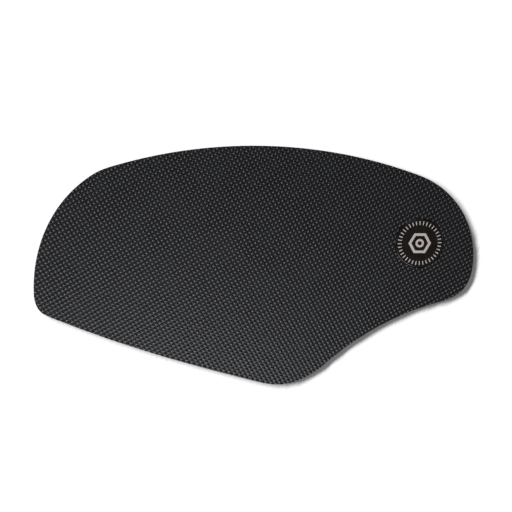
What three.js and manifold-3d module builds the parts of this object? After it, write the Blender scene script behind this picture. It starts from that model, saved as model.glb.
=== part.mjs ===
// A stick-on tank pad for a motorcycle: the rider's knee grips it on the side of the fuel tank.
//
// It is one sheet of soft black plastic, moulded with a field of small raised dots and then cut to
// the outline of the tank's side. The cut goes straight through the field, so the dots run out to
// the edge. A round badge with a rounded rim sits in a shallow well near the front end.
//
// The pad lies on its flat back: +Z points out of the gripping face, +X along the pad to its front
// end, +Y to its upper edge. The origin is on the back, in the middle of the pad's length and width.
// All sizes are in millimetres and all angles in degrees.

import * as THREE from "three";
import { mergeVertices, toCreasedNormals } from "three/addons/utils/BufferGeometryUtils.js";
import Module from "manifold-3d";

// Overall size of the cut outline
const padLength = 267;
const padWidth = 147;

// The moulded sheet
const webThickness = 1.5; // from the back to the ground between the dots
const dotHeight = 0.5;
const dotPitch = 2.4; // between neighbours in a row, and between rows
const dotRowAngle = 29; // the rows rise this much towards the front end

// The badge and its well
const badgeDiameter = 30;
const badgeFromFront = 34; // from its middle to the foremost point of the pad
const badgeAboveMiddle = 15.2; // from its middle down to the middle of the pad's width
const badgeRimHeight = 0.9; // from the floor of the well to the top of the rim
const badgeCrown = 0.2; // how much the middle stands above the rim
const badgeRimRadius = 0.5;
const badgeClearance = 0.3; // all round, between the badge and the wall of the well
const wellDepth = 0.6; // below the ground between the dots

// How finely curves are drawn
const spanSteps = 12; // straight cuts in each span of the outline
const roundSides = 72; // round the badge and its well
const rimSteps = 5;
const crownRings = 3;
const creaseAngle = 20; // faces that meet at less than this are shaded as one smooth face

const front = padLength / 2;
const rear = -padLength / 2;
const top = padWidth / 2;
const bottom = -padWidth / 2;
const dotTop = webThickness + dotHeight;
const wellFloor = webThickness - wellDepth;
const badgeX = front - badgeFromFront;
const badgeRadius = badgeDiameter / 2;

// The outline, anticlockwise, as the points where its curve changes, each with the heading of the
// cut there. The foremost, highest, rearmost and lowest points lie on the overall size, and the
// other points are placed from the ends and edges that they belong to.
const outlinePoints = [
  { x: front, y: 5, heading: 90 }, // foremost point of the nose
  { x: front - 35, y: top - 17.5, heading: 160 }, // the nose runs into the upper edge
  { x: -1, y: top, heading: 180 }, // highest point
  { x: rear + 51, y: top - 11.5, heading: 196 }, // the upper edge ends
  { x: rear + 38, y: top - 16.5, heading: 211 }, // the rear end begins
  { x: rear, y: -15, heading: 270 }, // rearmost point
  { x: rear + 6.5, y: -28, heading: 336 }, // the tight lower corner ends
  { x: 1, y: bottom + 2, heading: 345 }, // the lower edge ends
  { x: 13.5, y: bottom, heading: 0 }, // lowest point
  { x: 43, y: bottom + 13, heading: 42 }, // the curve turns over into the hollow
  { x: front - 23, y: -22.5, heading: 16 }, // the hollow ends
  { x: front - 6, y: -14.5, heading: 47 }, // the chin below the nose
];

const rubberBlack = new THREE.MeshStandardMaterial({ color: 0x2b2b2d, roughness: 0.55, metalness: 0 });
const badgeBlack = new THREE.MeshStandardMaterial({ color: 0x1c1a18, roughness: 0.2, metalness: 0 });

const { Manifold, Mesh: SolidMesh } = await loadSolids();

async function loadSolids() {
  const library = await Module();
  library.setup();
  return library;
}

// A closed three.js geometry as a solid that can be joined and cut.
function toSolid(geometry) {
  const bare = geometry.clone();
  bare.deleteAttribute("normal");
  bare.deleteAttribute("uv");
  const merged = mergeVertices(bare, 1e-4);
  return new Manifold(
    new SolidMesh({
      numProp: 3,
      vertProperties: merged.attributes.position.array,
      triVerts: new Uint32Array(merged.index.array),
    }),
  );
}

function toGeometry(solid) {
  const mesh = solid.getMesh();
  const geometry = new THREE.BufferGeometry();
  geometry.setAttribute("position", new THREE.BufferAttribute(mesh.vertProperties, mesh.numProp));
  geometry.setIndex(new THREE.BufferAttribute(mesh.triVerts, 1));
  return toCreasedNormals(geometry, THREE.MathUtils.degToRad(creaseAngle));
}

function directionOf(heading) {
  const angle = THREE.MathUtils.degToRad(heading);
  return new THREE.Vector2(Math.cos(angle), Math.sin(angle));
}

// Joins the outline's points with smooth spans. Both handles of a span have the length that makes
// it a round arc wherever its ends allow one.
function padOutline() {
  const shape = new THREE.Shape();
  shape.moveTo(outlinePoints[0].x, outlinePoints[0].y);
  outlinePoints.forEach((start, i) => {
    const end = outlinePoints[(i + 1) % outlinePoints.length];
    const turn = THREE.MathUtils.euclideanModulo(end.heading - start.heading + 180, 360) - 180;
    const sweep = THREE.MathUtils.degToRad(Math.abs(turn));
    const chord = Math.hypot(end.x - start.x, end.y - start.y);
    const handle = sweep ? ((2 / 3) * chord * Math.tan(sweep / 4)) / Math.sin(sweep / 2) : chord / 3;
    const leaving = directionOf(start.heading).multiplyScalar(handle);
    const arriving = directionOf(end.heading).multiplyScalar(handle);
    shape.bezierCurveTo(
      start.x + leaving.x,
      start.y + leaving.y,
      end.x - arriving.x,
      end.y - arriving.y,
      end.x,
      end.y,
    );
  });
  return shape;
}

// A block with a flat back and the dot field on its face, larger than the pad all round. The field
// is a grid of points a pitch apart. Every second point is the tip of a dot, and the points between
// are ground, so each dot is a four-sided pyramid whose foot meets its neighbours' feet. That is
// every second dot of the moulded field, each in its own place.
function dottedBlock() {
  const reach = Math.ceil(Math.hypot(padLength, padWidth) / 2 / dotPitch) + 2;
  const side = 2 * reach + 1;
  const rowsAlong = directionOf(dotRowAngle).multiplyScalar(dotPitch);
  const rowsAcross = directionOf(dotRowAngle + 90).multiplyScalar(dotPitch);
  const positions = [];
  const faces = [];
  const isTip = (i, j) => (i + j) % 2 === 0;
  for (let j = 0; j < side; j++) {
    for (let i = 0; i < side; i++) {
      const x = (i - reach) * rowsAlong.x + (j - reach) * rowsAcross.x;
      const y = (i - reach) * rowsAlong.y + (j - reach) * rowsAcross.y;
      positions.push(x, y, webThickness + (isTip(i, j) ? dotHeight : 0));
    }
  }
  const at = (i, j) => j * side + i;
  for (let j = 0; j + 1 < side; j++) {
    for (let i = 0; i + 1 < side; i++) {
      const [a, b, c, d] = [at(i, j), at(i + 1, j), at(i + 1, j + 1), at(i, j + 1)];
      if (isTip(i, j)) faces.push(a, b, d, b, c, d);
      else faces.push(a, b, c, a, c, d);
    }
  }

  // The four sides and the back, down to one point below the middle of the block
  const below = positions.length / 3;
  positions.push(0, 0, -padLength);
  for (let k = 0; k + 1 < side; k++) {
    faces.push(at(k + 1, 0), at(k, 0), below);
    faces.push(at(k, side - 1), at(k + 1, side - 1), below);
    faces.push(at(0, k), at(0, k + 1), below);
    faces.push(at(side - 1, k + 1), at(side - 1, k), below);
  }
  const geometry = new THREE.BufferGeometry();
  geometry.setAttribute("position", new THREE.Float32BufferAttribute(positions, 3));
  geometry.setIndex(faces);
  return toSolid(geometry);
}

// The sheet is the dotted block inside the cut, less the badge's well.
function gripSheet() {
  const cut = new THREE.ExtrudeGeometry(padOutline(), {
    depth: 2 * dotTop,
    bevelEnabled: false,
    curveSegments: spanSteps,
  });
  const wellRadius = badgeRadius + badgeClearance;
  const well = new THREE.CylinderGeometry(wellRadius, wellRadius, dotTop, roundSides);
  well.rotateX(Math.PI / 2);
  well.translate(badgeX, badgeAboveMiddle, wellFloor + dotTop / 2);
  const sheet = toSolid(cut).intersect(dottedBlock()).subtract(toSolid(well));
  const mesh = new THREE.Mesh(toGeometry(sheet), rubberBlack);
  mesh.name = "grip_sheet";
  return mesh;
}

// A disc turned about its own axis: a flat back, a quarter-round rim and a low crown.
function badge() {
  const profile = [new THREE.Vector2(0, 0), new THREE.Vector2(badgeRadius, 0)];
  for (let step = 0; step <= rimSteps; step++) {
    const angle = ((Math.PI / 2) * step) / rimSteps;
    const inward = badgeRimRadius * (1 - Math.cos(angle));
    const below = badgeRimRadius * (1 - Math.sin(angle));
    profile.push(new THREE.Vector2(badgeRadius - inward, badgeRimHeight - below));
  }
  for (let ring = crownRings - 1; ring >= 0; ring--) {
    const share = ring / crownRings;
    const height = badgeRimHeight + badgeCrown * (1 - share * share);
    profile.push(new THREE.Vector2((badgeRadius - badgeRimRadius) * share, height));
  }
  const geometry = new THREE.LatheGeometry(profile, roundSides);
  geometry.rotateX(Math.PI / 2);
  const mesh = new THREE.Mesh(geometry, badgeBlack);
  mesh.name = "badge";
  mesh.position.set(badgeX, badgeAboveMiddle, wellFloor);
  return mesh;
}

const tankPad = new THREE.Group();
tankPad.name = "tank_pad";
tankPad.add(gripSheet(), badge());

export default tankPad;
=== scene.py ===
# %% [markdown]
# # A stick-on tank pad, dressed in its real finish
#
# The pad is a sheet of soft black plastic, 2 mm thick, that a rider's knee grips. Its face is a
# field of small round dots, and a smooth round badge sits near the front end. This lesson starts
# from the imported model, which gives every size and place, and adds what the eye sees: the round
# dots, the cut edge, the badge's rim and print, and the finish of each surface.

# %% Load the frame
import bpy
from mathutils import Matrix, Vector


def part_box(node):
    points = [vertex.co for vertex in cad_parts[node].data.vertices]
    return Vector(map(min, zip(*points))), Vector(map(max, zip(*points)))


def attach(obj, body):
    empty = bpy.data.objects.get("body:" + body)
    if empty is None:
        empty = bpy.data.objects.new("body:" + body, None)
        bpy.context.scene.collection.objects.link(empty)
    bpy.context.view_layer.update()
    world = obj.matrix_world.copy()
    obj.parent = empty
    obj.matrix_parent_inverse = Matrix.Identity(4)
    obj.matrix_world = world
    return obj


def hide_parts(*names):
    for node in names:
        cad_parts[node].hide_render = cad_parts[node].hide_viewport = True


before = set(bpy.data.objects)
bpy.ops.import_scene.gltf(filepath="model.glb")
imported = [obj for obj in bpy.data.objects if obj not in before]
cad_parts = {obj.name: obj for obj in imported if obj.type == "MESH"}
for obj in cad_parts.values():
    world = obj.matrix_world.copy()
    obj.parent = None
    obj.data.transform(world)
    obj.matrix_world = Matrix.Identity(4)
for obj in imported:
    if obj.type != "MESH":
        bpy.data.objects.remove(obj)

for leftover in ("Cube", "Light", "Camera"):  # what an empty Blender file starts with
    if leftover in bpy.data.objects:
        bpy.data.objects.remove(bpy.data.objects[leftover])
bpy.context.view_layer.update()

import math

import bmesh
import numpy as np
from mathutils import Matrix, Vector

MM = 0.001

# %% [markdown]
# ## The camera
#
# The camera comes first, because every later choice is judged through it. The dots of the real pad
# form a square field, so their spacing in a picture tells where the camera stood: almost straight
# above the pad, a little towards its upper edge, with a normal lens. Its place and its aim give its
# axes by two cross products, and a small roll then levels the picture as the photographer held it.

# %% Place the camera
CAMERA_PLACE = Vector((-24.4, 76.4, 424.8)) * MM
CAMERA_AIM = Vector((-0.4, 7.73, 2.0)) * MM
CAMERA_ROLL = math.radians(-0.24)
CAMERA_LENS = 50  # in the lens's own millimetres, like the sensor's width
SENSOR_WIDTH = 36
NEAREST_SEEN = 10 * MM


def add_camera():
    backward = (CAMERA_PLACE - CAMERA_AIM).normalized()
    level = backward.cross(Vector((1, 0, 0))).normalized()
    upward = Matrix.Rotation(CAMERA_ROLL, 3, backward) @ level
    rightward = upward.cross(backward)
    data = bpy.data.cameras.new("camera")
    data.lens = CAMERA_LENS
    data.sensor_width = SENSOR_WIDTH
    data.clip_start = NEAREST_SEEN
    camera = bpy.data.objects.new("camera", data)
    turned = Matrix((rightward, upward, backward)).transposed().to_4x4()
    camera.matrix_world = Matrix.Translation(CAMERA_PLACE) @ turned
    bpy.context.scene.collection.objects.link(camera)
    bpy.context.scene.camera = camera


add_camera()
print("camera", round(CAMERA_PLACE.z / MM), "mm above the floor")

# %% [markdown]
# ## Sizes
#
# Heights and the badge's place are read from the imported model. What the model simplifies is named
# here at its real size: the model holds every second dot as a small pyramid, where the real field
# has a round dot at every crossing of the same grid.

# %% Read the sizes
sheet_low, sheet_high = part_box("grip_sheet")
badge_low, badge_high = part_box("badge")
BADGE_MIDDLE = (badge_low + badge_high) / 2
BADGE_RADIUS = (badge_high.x - badge_low.x) / 2

DOT_PITCH = 2.4 * MM
DOT_ROW_ANGLE = math.radians(29)
DOT_HEIGHT = 0.5 * MM
DOT_FOOT_RADIUS = 0.92 * MM
DOT_SHOULDER_RADIUS = 0.44 * MM
DOT_SHOULDER_SHARE = 0.55  # of the dot's height, where the side rounds over into the top
DOT_SIDES = 8  # two for each side of the square tile

GROUND = sheet_high.z - DOT_HEIGHT
BADGE_CLEARANCE = 0.3 * MM
print("the badge is", round(2 * BADGE_RADIUS / MM, 1), "mm across")

# %% [markdown]
# ## The outline
#
# The real sheet is moulded larger and then die-cut, so its outline is one smooth line. The model's
# flat back carries that line as short straight cuts. Walking round the back's border gives its
# corners in order, and a curve through them, bent like a spring strip, gives points in between.

# %% Walk round the back's border
CUTS_BETWEEN_CORNERS = 4
SAME_POINT = 0.001 * MM  # corners closer than this are one corner
LOOKS_DOWN = -0.9  # a face whose normal falls below this looks down


def looks_down(face):
    return face.normal.z < LOOKS_DOWN


def border_of_back(node):
    """The corners of a node's flat back, in order, as points in the plane."""
    work = bmesh.new()
    work.from_mesh(node.data)
    bmesh.ops.remove_doubles(work, verts=work.verts, dist=SAME_POINT)
    work.normal_update()
    border = {}
    for edge in work.edges:
        if sum(looks_down(face) for face in edge.link_faces) == 1:
            a, b = edge.verts
            border.setdefault(a, []).append(b)
            border.setdefault(b, []).append(a)
    start = max(border, key=lambda corner: corner.co.x)
    walk = [start, border[start][0]]
    while True:
        onward = [corner for corner in border[walk[-1]] if corner is not walk[-2]][0]
        if onward is start:
            break
        walk.append(onward)
    loop = np.array([corner.co.to_2d() for corner in walk])
    work.free()
    return loop if signed_area(loop) > 0 else loop[::-1]


def signed_area(loop):
    x, y = loop.T
    return 0.5 * float(np.sum(x * np.roll(y, -1) - y * np.roll(x, -1)))


def smoothed(loop, cuts):
    """A closed curve through the loop's corners, with more points on each stretch."""
    ahead = np.roll(loop, -1, axis=0) - loop
    length = np.linalg.norm(ahead, axis=1, keepdims=True)
    slope = ahead / length
    weight = np.roll(length, 1, axis=0)
    tangent = (slope * weight + np.roll(slope, 1, axis=0) * length) / (weight + length)
    end, end_tangent = np.roll(loop, -1, axis=0), np.roll(tangent, -1, axis=0)
    points = []
    for step in range(cuts):
        t = step / cuts
        from_start = (2 * t**3 - 3 * t**2 + 1) * loop + (t**3 - 2 * t**2 + t) * length * tangent
        from_end = (3 * t**2 - 2 * t**3) * end + (t**3 - t**2) * length * end_tangent
        points.append(from_start + from_end)
    return np.stack(points, axis=1).reshape(-1, 2)


outline = smoothed(border_of_back(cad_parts["grip_sheet"]), CUTS_BETWEEN_CORNERS)
print("outline:", len(outline), "points round", round(signed_area(outline) * 1e4, 1), "square cm")

# %% [markdown]
# ## The dotted sheet
#
# One pitch of the field is a small square tile: a ring of foot points, a ring of shoulder points
# and a tip, with flat ground out to the corners. The tile is worked out once and repeated as arrays
# of numbers, which is much faster than copying objects. The block of tiles is larger than the pad.
# It is closed below to one deep point, so that it is a solid that can be cut.

# %% Repeat one tile into a block
BLOCK_DEPTH = 200 * MM
TURN = np.array(
    [
        [math.cos(DOT_ROW_ANGLE), math.sin(DOT_ROW_ANGLE)],
        [-math.sin(DOT_ROW_ANGLE), math.cos(DOT_ROW_ANGLE)],
    ]
)


def tile_points():
    """A tile's own points round its middle: foot ring, shoulder ring and tip."""
    angles = np.arange(DOT_SIDES) * 2 * math.pi / DOT_SIDES
    round_trip = np.stack([np.cos(angles), np.sin(angles)], axis=1)
    foot = np.c_[round_trip * DOT_FOOT_RADIUS, np.full(DOT_SIDES, GROUND)]
    shoulder_height = GROUND + DOT_HEIGHT * DOT_SHOULDER_SHARE
    shoulder = np.c_[round_trip * DOT_SHOULDER_RADIUS, np.full(DOT_SIDES, shoulder_height)]
    return np.vstack([foot, shoulder, [[0, 0, GROUND + DOT_HEIGHT]]])


def tile_faces(corners, first):
    """The triangles of every tile, given its corner points and the first of its own points."""
    foot = [first + k for k in range(DOT_SIDES)]
    shoulder = [first + DOT_SIDES + k for k in range(DOT_SIDES)]
    tip = first + 2 * DOT_SIDES
    faces = []
    for side in range(4):
        a, b = corners[side], corners[(side + 1) % 4]
        before, middle, beyond = (foot[(2 * side + k) % DOT_SIDES] for k in (-1, 0, 1))
        faces += [(a, b, middle), (before, a, middle), (middle, b, beyond)]
    for k in range(DOT_SIDES):
        after = (k + 1) % DOT_SIDES
        faces.append((foot[k], foot[after], shoulder[after]))
        faces.append((foot[k], shoulder[after], shoulder[k]))
        faces.append((shoulder[k], shoulder[after], tip))
    return np.stack([np.stack(face, axis=1) for face in faces], axis=1).reshape(-1, 3)


def dotted_block(loop):
    """A solid block with the whole dot field on top, a little larger than the loop."""
    in_rows = loop @ TURN.T / DOT_PITCH
    low = np.floor(in_rows.min(axis=0)).astype(int) - 1
    columns, rows = np.ceil(in_rows.max(axis=0)).astype(int) + 1 - low
    i, j = np.meshgrid(np.arange(columns + 1), np.arange(rows + 1))
    corner_grid = (np.stack([i.ravel(), j.ravel()], axis=1) + low - 0.5) * DOT_PITCH @ TURN
    corner_points = np.c_[corner_grid, np.full(len(corner_grid), GROUND)]

    i, j = np.meshgrid(np.arange(columns), np.arange(rows))
    i, j = i.ravel(), j.ravel()
    middles = (np.stack([i, j], axis=1) + low) * DOT_PITCH @ TURN
    own = tile_points()
    own[:, :2] = own[:, :2] @ TURN
    own_points = own[None] + np.c_[middles, np.zeros(len(middles))][:, None]

    across = columns + 1
    corner = j * across + i
    corners = [corner + 1, corner + 1 + across, corner + across, corner]
    faces = tile_faces(corners, len(corner_points) + np.arange(len(middles)) * len(own))

    deep = len(corner_points) + own_points.size // 3
    border = np.concatenate(
        [
            np.arange(columns),
            columns + np.arange(rows) * across,
            rows * across + np.arange(columns, 0, -1),
            np.arange(rows, 0, -1) * across,
        ]
    )
    walls = np.stack([np.roll(border, -1), border, np.full(len(border), deep)], axis=1)
    points = np.vstack([corner_points, own_points.reshape(-1, 3), [[0, 0, -BLOCK_DEPTH]]])
    return mesh_object("dotted_block", points, np.vstack([faces, walls]))


def mesh_object(name, points, faces):
    mesh = bpy.data.meshes.new(name)
    mesh.from_pydata(np.asarray(points).tolist(), [], np.asarray(faces).tolist())
    mesh.update()
    piece = bpy.data.objects.new(name, mesh)
    bpy.context.scene.collection.objects.link(piece)
    return piece


block = dotted_block(outline)
print("block of", len(block.data.polygons), "triangles")

# %% [markdown]
# ## The cut
#
# A knife of the outline's shape cuts the sheet out of the block, straight through the dots on its
# line, and a round cutter sinks the badge's well. Both are boolean modifiers, baked into the mesh.
# The tall cutters pass well above the face, so that nothing is left standing.

# %% Cut the sheet out
WELL_STEPS = 180


def round_loop(radius, steps, middle=(0, 0)):
    angles = np.arange(steps) * 2 * math.pi / steps
    return np.stack([np.cos(angles), np.sin(angles)], axis=1) * radius + np.array(middle)


def prism(name, loop, low, high):
    """A closed solid with the loop as its floor and its roof."""
    count = len(loop)
    points = np.vstack([np.c_[loop, np.full(count, low)], np.c_[loop, np.full(count, high)]])
    sides = [(k, (k + 1) % count, count + (k + 1) % count, count + k) for k in range(count)]
    mesh = bpy.data.meshes.new(name)
    floor, roof = list(range(count))[::-1], list(range(count, 2 * count))
    mesh.from_pydata(points.tolist(), [], [floor, roof, *sides])
    mesh.update()
    solid = bpy.data.objects.new(name, mesh)
    bpy.context.scene.collection.objects.link(solid)
    return solid


def cut(target, cutter, operation):
    """Cuts the target by a solid and throws the cutter away."""
    modifier = target.modifiers.new("cut", "BOOLEAN")
    modifier.operation = operation
    modifier.solver = "MANIFOLD"
    modifier.object = cutter
    graph = bpy.context.evaluated_depsgraph_get()
    finished = bpy.data.meshes.new_from_object(target.evaluated_get(graph))
    target.modifiers.clear()
    target.data = finished
    bpy.data.objects.remove(cutter)


WELL_FLOOR = badge_low.z
CUTTER_TOP = sheet_high.z + 10 * MM
cut(block, prism("knife", outline, sheet_low.z, CUTTER_TOP), "INTERSECT")
well_loop = round_loop(BADGE_RADIUS + BADGE_CLEARANCE, WELL_STEPS, BADGE_MIDDLE.to_2d())
cut(block, prism("well_cutter", well_loop, WELL_FLOOR, CUTTER_TOP), "DIFFERENCE")
sheet = block
sheet.name = sheet.data.name = "dotted_sheet"
sheet.data.calc_loop_triangles()
print("sheet of", len(sheet.data.loop_triangles), "triangles")

# %% [markdown]
# ## Shading
#
# The dots are few-sided on purpose, and smooth shading makes them round. A knife leaves crisp
# edges, so every edge between an upright wall and any other face is marked sharp. The same test
# sorts the faces into moulded face, cut edge and back, which get materials of their own.

# %% Mark the crisp edges and sort the faces
UPRIGHT = 0.05  # a face whose normal rises less than this is a wall
SLIVER = 0.0001 * MM  # what is thinner than this has no area to shade
MOULDED, CUT_EDGE, BACK = 0, 1, 2


def is_wall(face):
    return abs(face.normal.z) < UPRIGHT


def shade_cut_solid(piece):
    piece.data.materials.clear()
    work = bmesh.new()
    work.from_mesh(piece.data)
    bmesh.ops.dissolve_degenerate(work, dist=SLIVER, edges=work.edges)
    work.normal_update()
    for face in work.faces:
        face.smooth = True
        if is_wall(face):
            face.material_index = CUT_EDGE
        else:
            face.material_index = MOULDED if face.normal.z > 0 else BACK
    for edge in work.edges:
        edge.smooth = len({is_wall(face) for face in edge.link_faces}) == 1
    work.to_mesh(piece.data)
    work.free()


shade_cut_solid(sheet)
sorted_faces = np.zeros(len(sheet.data.polygons), dtype=int)
sheet.data.polygons.foreach_get("material_index", sorted_faces)
print("moulded, cut and back faces:", np.bincount(sorted_faces))

# %% [markdown]
# ## The badge
#
# The badge is a cast resin disc: flat below, with a rounded rim and a low crown that the eye only
# notices as a slow change in the reflections. A round thing is its profile carried round an axis,
# so a list of radii and heights is all that has to be right.

# %% Turn the badge
BADGE_STEPS = 192
BADGE_CROWN = 0.2 * MM
BADGE_RIM_RADIUS = 0.5 * MM
BADGE_FOOT_CHAMFER = 0.08 * MM
CROWN_RINGS = 14
RIM_STEPS = 10


def crown_height(radius):
    """The height of the badge's face at a distance from its middle."""
    share = min(radius / (BADGE_RADIUS - BADGE_RIM_RADIUS), 1)
    return badge_high.z - BADGE_CROWN * share**2


def badge_profile():
    """Radii and heights from the edge of the underside, over the rim, to the innermost ring."""
    rim_top = badge_high.z - BADGE_CROWN
    points = [
        (BADGE_RADIUS - BADGE_FOOT_CHAMFER, badge_low.z),
        (BADGE_RADIUS, badge_low.z + BADGE_FOOT_CHAMFER),
    ]
    for step in range(RIM_STEPS + 1):
        angle = math.pi / 2 * step / RIM_STEPS
        radius = BADGE_RADIUS - BADGE_RIM_RADIUS * (1 - math.cos(angle))
        points.append((radius, rim_top - BADGE_RIM_RADIUS * (1 - math.sin(angle))))
    for ring in range(CROWN_RINGS - 1, 0, -1):
        radius = (BADGE_RADIUS - BADGE_RIM_RADIUS) * ring / CROWN_RINGS
        points.append((radius, crown_height(radius)))
    return points


def turned(name, profile, steps, middle):
    """A solid of revolution whose two ends close in a point on the axis."""
    work = bmesh.new()
    rings = []
    for radius, height in profile:
        loop = round_loop(radius, steps, middle)
        rings.append([work.verts.new((x, y, height)) for x, y in loop])
    underside = work.verts.new((*middle, profile[0][1]))
    crown = work.verts.new((*middle, crown_height(0)))
    for k in range(steps):
        after = (k + 1) % steps
        work.faces.new((underside, rings[0][after], rings[0][k]))
        for low, high in zip(rings, rings[1:]):
            work.faces.new((low[k], low[after], high[after], high[k]))
        work.faces.new((rings[-1][k], rings[-1][after], crown))
    work.normal_update()
    for face in work.faces:
        face.smooth = not looks_down(face)
    mesh = bpy.data.meshes.new(name)
    work.to_mesh(mesh)
    work.free()
    piece = bpy.data.objects.new(name, mesh)
    bpy.context.scene.collection.objects.link(piece)
    return piece


badge = turned("badge_disc", badge_profile(), BADGE_STEPS, BADGE_MIDDLE.to_2d())
print("badge of", len(badge.data.polygons), "faces")

# %% [markdown]
# ## The badge's print
#
# The badge carries a silvery print. Here it is a plain one: a ring of short ticks, as round a
# dial, and a hexagon with a round ring in it. Each mark is a thin plate of foil that follows the
# crown, so its edges stay sharp at any distance. One helper lays a band of foil between two rows
# of points.

# %% Lay the foil
FOIL_THICKNESS = 0.03 * MM
FOIL_SUNK = 0.01 * MM  # the foil's underside lies this deep in the resin

TICKS = 36
TICK_INNER_RADIUS = 11.2 * MM
TICK_OUTER_RADIUS = 13.5 * MM
TICK_SHARE = 0.26  # of the way round that is foil
HEXAGON_OUTER = 7.0 * MM  # from the middle to a corner
HEXAGON_INNER = 5.2 * MM
EYE_OUTER = 2.6 * MM
EYE_INNER = 1.3 * MM
POINTS_ON_A_SIDE = 5
POINTS_ON_A_TICK = 3
EYE_STEPS = 48


def lay_band(work, inner, outer, closed):
    """A thin plate between two rows of points given from the badge's middle."""
    def place(point, lift):
        height = crown_height(math.hypot(*point)) + lift
        return work.verts.new((BADGE_MIDDLE.x + point[0], BADGE_MIDDLE.y + point[1], height))

    top = [[place(p, FOIL_THICKNESS) for p in row] for row in (inner, outer)]
    low = [[place(p, -FOIL_SUNK) for p in row] for row in (inner, outer)]
    count = len(inner)
    for k in range(count if closed else count - 1):
        n = (k + 1) % count
        work.faces.new((top[0][k], top[1][k], top[1][n], top[0][n]))
        work.faces.new((low[0][n], low[1][n], low[1][k], low[0][k]))
        work.faces.new((top[1][k], low[1][k], low[1][n], top[1][n]))
        work.faces.new((top[0][n], low[0][n], low[0][k], top[0][k]))
    if not closed:
        work.faces.new((top[0][0], low[0][0], low[1][0], top[1][0]))
        work.faces.new((top[1][-1], low[1][-1], low[0][-1], top[0][-1]))


def arc(radius, start, end, steps):
    angles = np.linspace(start, end, steps)
    return np.stack([np.cos(angles), np.sin(angles)], axis=1) * radius


def hexagon(radius):
    corners = round_loop(radius, 6)
    share = np.arange(POINTS_ON_A_SIDE)[:, None] / POINTS_ON_A_SIDE
    return np.vstack([a + (b - a) * share for a, b in zip(corners, np.roll(corners, -1, axis=0))])


def foil_piece(name, bands):
    work = bmesh.new()
    for inner, outer, closed in bands:
        lay_band(work, inner, outer, closed)
    mesh = bpy.data.meshes.new(name)
    work.to_mesh(mesh)
    work.free()
    piece = bpy.data.objects.new(name, mesh)
    bpy.context.scene.collection.objects.link(piece)
    return piece


tick_sweep = 2 * math.pi / TICKS
tick_bands = []
for tick in range(TICKS):
    span = (tick * tick_sweep, (tick + TICK_SHARE) * tick_sweep, POINTS_ON_A_TICK)
    tick_bands.append((arc(TICK_INNER_RADIUS, *span), arc(TICK_OUTER_RADIUS, *span), False))
badge_ticks = foil_piece("badge_ticks", tick_bands)
badge_emblem = foil_piece(
    "badge_emblem",
    [
        (hexagon(HEXAGON_INNER), hexagon(HEXAGON_OUTER), True),
        (round_loop(EYE_INNER, EYE_STEPS), round_loop(EYE_OUTER, EYE_STEPS), True),
    ],
)
print("foil:", TICKS, "ticks, a hexagon and a ring")

# %% [markdown]
# ## Effects that several finishes share
#
# Two things show on every surface of a moulded product. A fine grain, which the mould's own surface
# leaves, makes the plastic satin. A faint haze from handling makes the shine uneven. Each is a node
# group with named inputs, built once and set to its own size in each finish.

# %% Build the shared node groups
COARSE_TO_FINE = 0.45  # coarser pimples along a line for each fine one
COARSE_WEIGHT = 0.35  # of the height
HAZE_STARTS, HAZE_FULL = 0.42, 0.68  # on the clouds' own scale of 0 to 1


def place_node(tree, kind, label, **values):
    """A node with its inputs set. A value that is an output socket of another node is linked."""
    node = tree.nodes.new(kind)
    node.label = label
    for name, value in values.items():
        socket = node.inputs[name.replace("_", " ")]
        if isinstance(value, bpy.types.NodeSocket):
            tree.links.new(value, socket)
        else:
            socket.default_value = value
    return node


def start_group(name, inputs, outputs):
    group = bpy.data.node_groups.new(name, "ShaderNodeTree")
    for label, default in inputs.items():
        socket = group.interface.new_socket(label, in_out="INPUT", socket_type="NodeSocketFloat")
        socket.default_value = default
    for label in outputs:
        group.interface.new_socket(label, in_out="OUTPUT", socket_type="NodeSocketFloat")
    return group, group.nodes.new("NodeGroupInput"), group.nodes.new("NodeGroupOutput")


def object_position(tree):
    return tree.nodes.new("ShaderNodeTexCoord").outputs["Object"]


def scaled(tree, socket, factor, label):
    node = tree.nodes.new("ShaderNodeMath")
    node.operation = "MULTIPLY"
    node.label = label
    tree.links.new(socket, node.inputs[0])
    if isinstance(factor, bpy.types.NodeSocket):
        tree.links.new(factor, node.inputs[1])
    else:
        node.inputs[1].default_value = factor
    return node.outputs[0]


def build_mould_grain():
    """Fine pimples at two sizes. Grains Per Metre sets the size, and Height is from 0 to 1."""
    group, given, result = start_group("mould_grain", {"Grains Per Metre": 3000}, ["Height"])
    where = object_position(group)
    density = given.outputs["Grains Per Metre"]
    fine = place_node(
        group, "ShaderNodeTexNoise", "fine pimples", Vector=where, Scale=density, Detail=3.0
    )
    cells = place_node(
        group,
        "ShaderNodeTexVoronoi",
        "coarser pimples",
        Vector=where,
        Scale=scaled(group, density, COARSE_TO_FINE, "fewer of them"),
    )
    blend = group.nodes.new("ShaderNodeMix")
    blend.label = "pimples together"
    blend.inputs["Factor"].default_value = COARSE_WEIGHT
    group.links.new(fine.outputs["Fac"], blend.inputs["A"])
    group.links.new(cells.outputs["Distance"], blend.inputs["B"])
    group.links.new(blend.outputs["Result"], result.inputs["Height"])
    return group


def build_handling_haze():
    """Soft clouds of dulled shine, from 0 to 1. Clouds Per Metre sets their size."""
    group, given, result = start_group("handling_haze", {"Clouds Per Metre": 40}, ["Haze"])
    where = object_position(group)
    cloud = place_node(
        group,
        "ShaderNodeTexNoise",
        "clouds",
        Vector=where,
        Scale=given.outputs["Clouds Per Metre"],
        Detail=4.0,
        Roughness=0.6,
    )
    ramp = group.nodes.new("ShaderNodeMapRange")
    ramp.label = "only the thick of it"
    ramp.inputs["From Min"].default_value = HAZE_STARTS
    ramp.inputs["From Max"].default_value = HAZE_FULL
    group.links.new(cloud.outputs["Fac"], ramp.inputs["Value"])
    group.links.new(ramp.outputs["Result"], result.inputs["Haze"])
    return group


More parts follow.
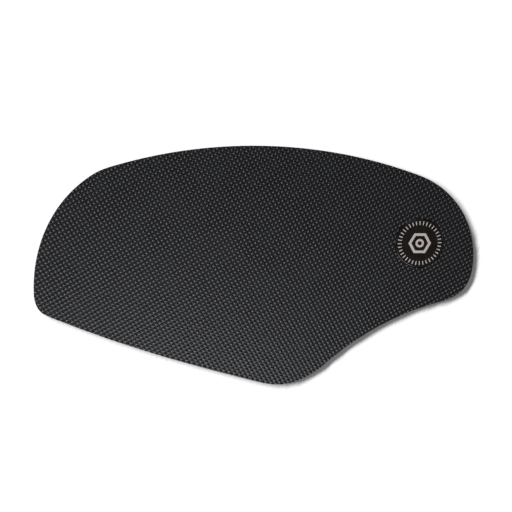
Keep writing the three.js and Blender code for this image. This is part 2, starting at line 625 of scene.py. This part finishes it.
MOULD_GRAIN = build_mould_grain()
HANDLING_HAZE = build_handling_haze()
print("node groups:", [group.name for group in bpy.data.node_groups])

# %% [markdown]
# ## Finishes
#
# Each finish starts from one helper: a material with its shader, the grain as a bump and the haze
# over the roughness. What differs is the colour, the shine and the sizes. The moulded face is a
# little shinier on the dots' tops, where the mould was polished and hands have been. Its ground
# between the dots is painted darker than the tips, as painted shade.

# %% Make the finishes


def start_finish(name, roughness, metallic=0.0):
    material = bpy.data.materials.new(name)
    material.use_nodes = True
    shader = material.node_tree.nodes["Principled BSDF"]
    shader.inputs["Roughness"].default_value = roughness
    shader.inputs["Metallic"].default_value = metallic
    return material, material.node_tree, shader


def place_group(tree, group, **values):
    node = tree.nodes.new("ShaderNodeGroup")
    node.node_tree = group
    for name, value in values.items():
        node.inputs[name.replace("_", " ")].default_value = value
    return node


def add_grain(tree, shader, grains_per_metre, depth):
    grain = place_group(tree, MOULD_GRAIN, Grains_Per_Metre=grains_per_metre)
    bump = place_node(
        tree, "ShaderNodeBump", "grain", Height=grain.outputs["Height"], Distance=depth
    )
    tree.links.new(bump.outputs["Normal"], shader.inputs["Normal"])
    return grain


def ranged(tree, socket, low, high, label, from_low=0.0, from_high=1.0):
    node = tree.nodes.new("ShaderNodeMapRange")
    node.label = label
    node.inputs["From Min"].default_value = from_low
    node.inputs["From Max"].default_value = from_high
    node.inputs["To Min"].default_value = low
    node.inputs["To Max"].default_value = high
    tree.links.new(socket, node.inputs["Value"])
    return node.outputs["Result"]


def mixed_colour(tree, socket, low, high, label):
    node = tree.nodes.new("ShaderNodeMix")
    node.data_type = "RGBA"
    node.label = label
    node.inputs["A"].default_value = (*low, 1)
    node.inputs["B"].default_value = (*high, 1)
    tree.links.new(socket, node.inputs["Factor"])
    return node.outputs["Result"]


def height_above_ground(tree):
    split = tree.nodes.new("ShaderNodeSeparateXYZ")
    tree.links.new(object_position(tree), split.inputs["Vector"])
    return ranged(tree, split.outputs["Z"], 0, 1, "ground to tip", GROUND, sheet_high.z)


def moulded_finish():
    material, tree, shader = start_finish("moulded_black", 0.5)
    shader.inputs["Specular Tint"].default_value = (0.925, 0.945, 1, 1)
    rise = height_above_ground(tree)
    # Painted shade: the ground between the dots is coloured darker than the tips, for the shade
    # there.
    colour = mixed_colour(tree, rise, (0.004, 0.004, 0.0044), (0.005, 0.005, 0.0056), "painted shade between dots")
    tree.links.new(colour, shader.inputs["Base Color"])
    haze = place_group(tree, HANDLING_HAZE, Clouds_Per_Metre=45)
    dulled = ranged(tree, haze.outputs["Haze"], 0.0, 0.06, "dulled by handling")
    shine = ranged(tree, rise, 0.27, 0.25, "shinier tips")
    total = tree.nodes.new("ShaderNodeMath")
    total.label = "roughness"
    tree.links.new(shine, total.inputs[0])
    tree.links.new(dulled, total.inputs[1])
    tree.links.new(total.outputs[0], shader.inputs["Roughness"])
    add_grain(tree, shader, grains_per_metre=5200, depth=0.003 * MM)
    return material


def cut_edge_finish():
    material, tree, shader = start_finish("cut_edge_black", 0.62)
    grain = add_grain(tree, shader, grains_per_metre=2600, depth=0.02 * MM)
    colour = mixed_colour(
        tree, grain.outputs["Height"], (0.014, 0.014, 0.015), (0.026, 0.026, 0.027), "knife drag"
    )
    tree.links.new(colour, shader.inputs["Base Color"])
    return material


def back_finish():
    material, tree, shader = start_finish("flat_back_black", 0.42)
    grain = add_grain(tree, shader, grains_per_metre=1800, depth=0.008 * MM)
    colour = mixed_colour(
        tree, grain.outputs["Height"], (0.016, 0.016, 0.017), (0.022, 0.022, 0.023), "faint mottle"
    )
    tree.links.new(colour, shader.inputs["Base Color"])
    haze = place_group(tree, HANDLING_HAZE, Clouds_Per_Metre=30)
    dulled = ranged(tree, haze.outputs["Haze"], 0.4, 0.52, "dulled by handling")
    tree.links.new(dulled, shader.inputs["Roughness"])
    return material


def resin_finish():
    material, tree, shader = start_finish("badge_resin", 0.2)
    haze = place_group(tree, HANDLING_HAZE, Clouds_Per_Metre=160)
    colour = mixed_colour(
        tree, haze.outputs["Haze"], (0.0075, 0.0062, 0.0053), (0.0095, 0.0082, 0.007), "warm black"
    )
    tree.links.new(colour, shader.inputs["Base Color"])
    dulled = ranged(tree, haze.outputs["Haze"], 0.16, 0.24, "dulled by handling")
    tree.links.new(dulled, shader.inputs["Roughness"])
    add_grain(tree, shader, grains_per_metre=900, depth=0.004 * MM)
    return material


def foil_finish():
    material, tree, shader = start_finish("silver_foil", 0.42, metallic=0.35)
    grain = add_grain(tree, shader, grains_per_metre=7000, depth=0.006 * MM)
    colour = mixed_colour(
        tree, grain.outputs["Height"], (0.62, 0.54, 0.51), (0.72, 0.64, 0.61), "foil grain"
    )
    tree.links.new(colour, shader.inputs["Base Color"])
    return material


for finish in (moulded_finish(), cut_edge_finish(), back_finish()):
    sheet.data.materials.append(finish)
badge.data.materials.append(resin_finish())
foil = foil_finish()
badge_ticks.data.materials.append(foil)
badge_emblem.data.materials.append(foil)
print("finishes:", [material.name for material in bpy.data.materials])

# %% [markdown]
# ## Seating the pieces on the frame
#
# Nothing here moves, so every piece rides on the one body. The sheet and the badge stand for their
# plain solids, which stay behind for collision.

# %% Ride and replace
ROOT = "root"
PIECES_AND_SLOTS = (
    (sheet, "grip"),
    (badge, "badge"),
    (badge_ticks, "badge"),
    (badge_emblem, "badge"),
)
for piece, slot in PIECES_AND_SLOTS:
    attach(piece, ROOT)
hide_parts("grip_sheet")
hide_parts("badge")

# %% [markdown]
# ## The floor
#
# The pad lies on a white sheet. The sheet glows a little where it is seen, which sets how dark
# the pad's shadow on it is. The glow throws no light on the pad.

# %% Lay the floor
FLOOR_SIDE = 4.0
FLOOR_DROP = 0.02 * MM
FLOOR_WHITE = 0.9
FLOOR_GLOW = 0.085


def seen_directly(tree):
    """1 where the camera, a reflection or glass sees the surface, and 0 where it lights others."""
    path = tree.nodes.new("ShaderNodeLightPath")
    total = path.outputs["Is Camera Ray"]
    for kind in ("Is Glossy Ray", "Is Transmission Ray"):
        either = tree.nodes.new("ShaderNodeMath")
        either.operation = "MAXIMUM"
        tree.links.new(total, either.inputs[0])
        tree.links.new(path.outputs[kind], either.inputs[1])
        total = either.outputs[0]
    return total


def add_floor():
    half = FLOOR_SIDE / 2
    corners = [(-half, -half), (half, -half), (half, half), (-half, half)]
    floor = mesh_object("floor", [(x, y, -FLOOR_DROP) for x, y in corners], [(0, 1, 2, 3)])
    material = bpy.data.materials.new("white_floor")
    material.use_nodes = True
    tree = material.node_tree
    shader = tree.nodes["Principled BSDF"]
    shader.inputs["Base Color"].default_value = (FLOOR_WHITE, FLOOR_WHITE, FLOOR_WHITE, 1)
    shader.inputs["Roughness"].default_value = 0.9
    shader.inputs["Specular IOR Level"].default_value = 0.1
    shader.inputs["Emission Color"].default_value = (1, 1, 1, 1)
    glow = scaled(tree, seen_directly(tree), FLOOR_GLOW, "glow")
    tree.links.new(glow, shader.inputs["Emission Strength"])
    floor.data.materials.append(material)
    return floor


floor = add_floor()
print("floor", FLOOR_SIDE, "m wide")

# %% [markdown]
# ## The light
#
# A black satin face shows little but the lamps that it mirrors, so softboxes stand on every side:
# a long one before the lower edge with a fainter one above it, one beyond the upper edge and one
# at each end. Each puts a soft spot on one side of every dot and leaves the gaps between the dots
# dark. A level is the share of full brightness that the lamp alone would give a white card that
# faces it.
#
# The floor has a lamp of its own, like a wide window on the upper left. Light linking keeps the
# floor's lamp off the pad and the pad's lamps off the floor, so the floor can be white with one
# clear shadow while the pad stays at a plain level.

# %% Hang the lamps
WORLD_LEVEL = 0.1
STUDIO_DISTANCE = 1.6  # metres from the pad's middle
WINDOW_DISTANCE = 20.0  # so far that it lights the whole floor evenly

# Azimuth, elevation, width, height and level
PAD_LAMPS = {
    "front_softbox": (-103, 42, 1.2, 0.4, 0.55),
    "high_softbox": (-100, 62, 1.0, 0.35, 0.19),
    "back_softbox": (88, 52, 0.7, 0.4, 0.18),
    "rear_softbox": (180, 30, 0.5, 0.5, 0.14),
    "nose_softbox": (0, 30, 0.5, 0.5, 0.06),
}
FLOOR_LAMP = (151, 21, 22.0, 2.8, 3.2)


def add_softbox(name, distance, azimuth, elevation, width, height, level):
    """A flat lamp that faces the pad's middle, at angles in degrees from +X and from the floor."""
    across, up = math.radians(azimuth), math.radians(elevation)
    reach = math.cos(up)
    direction = Vector((math.cos(across) * reach, math.sin(across) * reach, math.sin(up)))
    data = bpy.data.lights.new(name, "AREA")
    data.shape = "RECTANGLE"
    data.size, data.size_y = width, height
    data.energy = math.pi**2 * level * distance**2  # a flat lamp's watts for that level
    lamp = bpy.data.objects.new(name, data)
    lamp.location = direction * distance
    lamp.rotation_mode = "QUATERNION"
    lamp.rotation_quaternion = direction.to_track_quat("Z", "Y")
    bpy.context.scene.collection.objects.link(lamp)
    return lamp


def light_only(lamp, pieces):
    """Keeps a lamp's light off everything but these pieces, which still stop it for others."""
    receivers = bpy.data.collections.new(lamp.name + "_receivers")
    for piece in pieces:
        receivers.objects.link(piece)
    lamp.light_linking.receiver_collection = receivers


def light_world():
    world = bpy.data.worlds.new("studio")
    world.use_nodes = True
    tree = world.node_tree
    background = tree.nodes["Background"]
    background.inputs["Color"].default_value = (1, 1, 1, 1)
    path = tree.nodes.new("ShaderNodeLightPath")
    strength = ranged(tree, path.outputs["Is Camera Ray"], WORLD_LEVEL, 1.0, "white to the camera")
    tree.links.new(strength, background.inputs["Strength"])
    bpy.context.scene.world = world


light_world()
for name, settings in PAD_LAMPS.items():
    lamp = add_softbox(name, STUDIO_DISTANCE, *settings)
    light_only(lamp, [piece for piece, slot in PIECES_AND_SLOTS])
light_only(add_softbox("floor_lamp", WINDOW_DISTANCE, *FLOOR_LAMP), [floor])
bpy.context.scene.view_settings.view_transform = "Standard"
